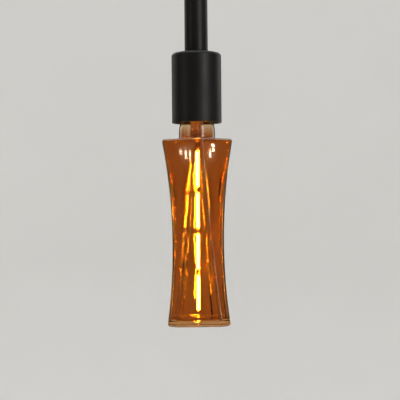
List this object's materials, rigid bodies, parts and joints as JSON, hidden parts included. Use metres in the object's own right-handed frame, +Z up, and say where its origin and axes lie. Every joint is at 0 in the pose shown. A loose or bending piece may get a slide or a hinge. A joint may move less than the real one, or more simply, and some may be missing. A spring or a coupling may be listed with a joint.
{
  "type": "led bulb",
  "caption": "Decorative LED filament bulb with twisted, waisted eight-sided amber glass, screwed into a black cup lamp holder on the end of its suspension tube.",
  "frame": {"origin": "the top end of the suspension tube, on the common axis of tube, cup and bulb", "axes": "+Z up along the common axis, -Y towards the camera, +X to the right in the picture"},
  "size_m": [0.0662, 0.0662, 0.341],
  "materials": {
    "black_paint": "satin black powder coat",
    "black_plastic": "moulded black phenolic plastic",
    "zinc_steel": "zinc-plated steel",
    "brass": "drawn brass",
    "porcelain": "glazed porcelain",
    "cap_metal": "drawn cap metal, satin",
    "solder": "solder mound on its eyelet",
    "vitrite": "opaque black glass",
    "cement": "baked capping cement",
    "amber_glass": "blown glass, amber-tinted on the body and clear at the neck",
    "clear_glass": "clear lead glass",
    "nickel_wire": "nickel-plated wire and tabs",
    "phosphor": "phosphor coat over a ceramic strip",
    "board": "glass-fibre board",
    "black_epoxy": "moulded black epoxy",
    "resistor_body": "lacquered ceramic",
    "tinned_copper": "tinned copper wire"
  },
  "bodies": {
    "holder": {"suspension_tube": "black_paint", "tube_top_plug": "zinc_steel", "tube_bottom_plug": "zinc_steel", "holder_cup": "black_paint", "threaded_nipple": "zinc_steel", "lock_washer": "zinc_steel", "lock_nut": "zinc_steel", "holder_dome": "black_plastic", "holder_barrel": "black_plastic", "contact_block": "porcelain", "screw_shell": "brass", "neutral_strip": "brass", "live_strip": "brass", "terminal_blocks": "brass"},
    "spring_contact": {"contact_leaf": "brass"},
    "bulb_tip": {"end_contact": "solder"},
    "bulb": {"cap_insulator": "vitrite", "cap_shell": "cap_metal", "cap_cement": "cement", "glass_envelope": "amber_glass", "glass_stem": "clear_glass", "exhaust_tube": "clear_glass", "lead_in_wires": "nickel_wire", "support_wire": "nickel_wire", "filament_tabs": "nickel_wire", "filament_1": "phosphor", "filament_2": "phosphor", "filament_3": "phosphor", "filament_4": "phosphor", "driver_board": "board", "driver_capacitor": "black_epoxy", "driver_rectifier": "black_epoxy", "driver_regulator": "black_epoxy", "fuse_resistor": "resistor_body", "live_wire": "tinned_copper", "neutral_wire": "tinned_copper"}
  },
  "joints": [
    {"name": "bulb_advance", "type": "slide", "parent": "holder", "child": "bulb_tip", "axis": [0, 0, -1], "range_m": [0, 0.0182]},
    {"name": "bulb_turn", "type": "hinge", "parent": "bulb_tip", "child": "bulb", "pos_m": [0, 0, -0.128], "axis": [0, 0, -1], "range_deg": [0, 1800]},
    {"name": "contact_flex", "type": "hinge", "parent": "holder", "child": "spring_contact", "pos_m": [-0.0042, 0, -0.11195], "axis": [0, -1, 0], "range_deg": [0, 8], "stiffness_Nm_per_rad": 0.2, "springref_deg": -4.58}
  ],
  "couplings": [
    {"joint": "bulb_advance", "follows": "bulb_turn", "m_per_rad": 0.00057757}
  ]
}
